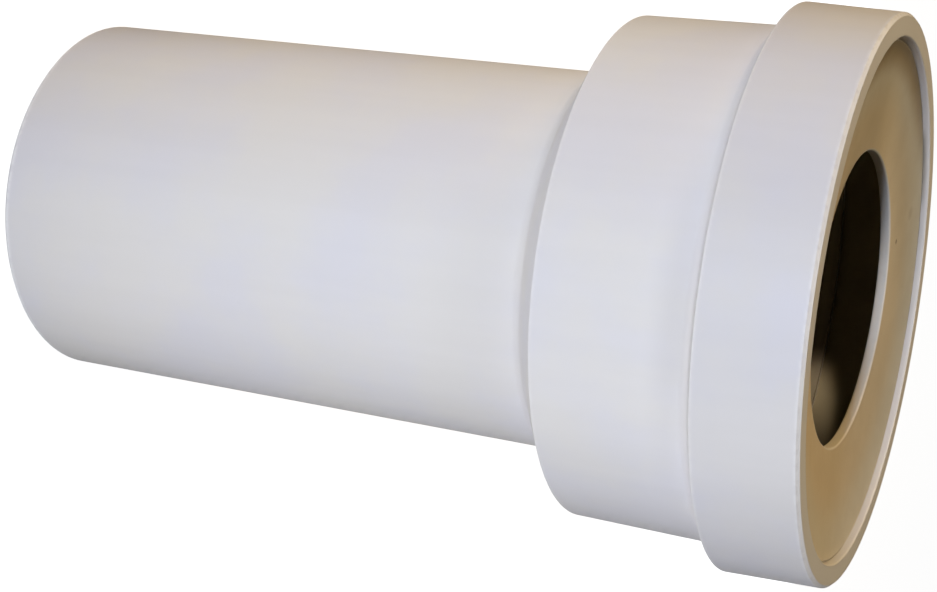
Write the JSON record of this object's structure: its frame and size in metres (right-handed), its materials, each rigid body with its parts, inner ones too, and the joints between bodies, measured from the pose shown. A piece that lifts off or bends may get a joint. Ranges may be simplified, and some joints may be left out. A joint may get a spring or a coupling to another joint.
{
  "type": "toilet pan connector",
  "caption": "Straight toilet pan connector: plain outlet spigot, coned shoulder, wider socket and stepped collar, with a soft inlet seal held behind the turned-in rim.",
  "frame": {"origin": "centre of the outlet spigot's end face, on which the part stands", "axes": "+Z along the pipe, from the outlet spigot up to the inlet mouth; X and Y are free, because the part is round"},
  "size_m": [0.1584, 0.1584, 0.25],
  "materials": {
    "white_plastic": "satin moulded white plastic",
    "seal_rubber": "matt cream rubber"
  },
  "bodies": {
    "root": {"body": "white_plastic", "inlet_seal": "seal_rubber"}
  },
  "joints": []
}
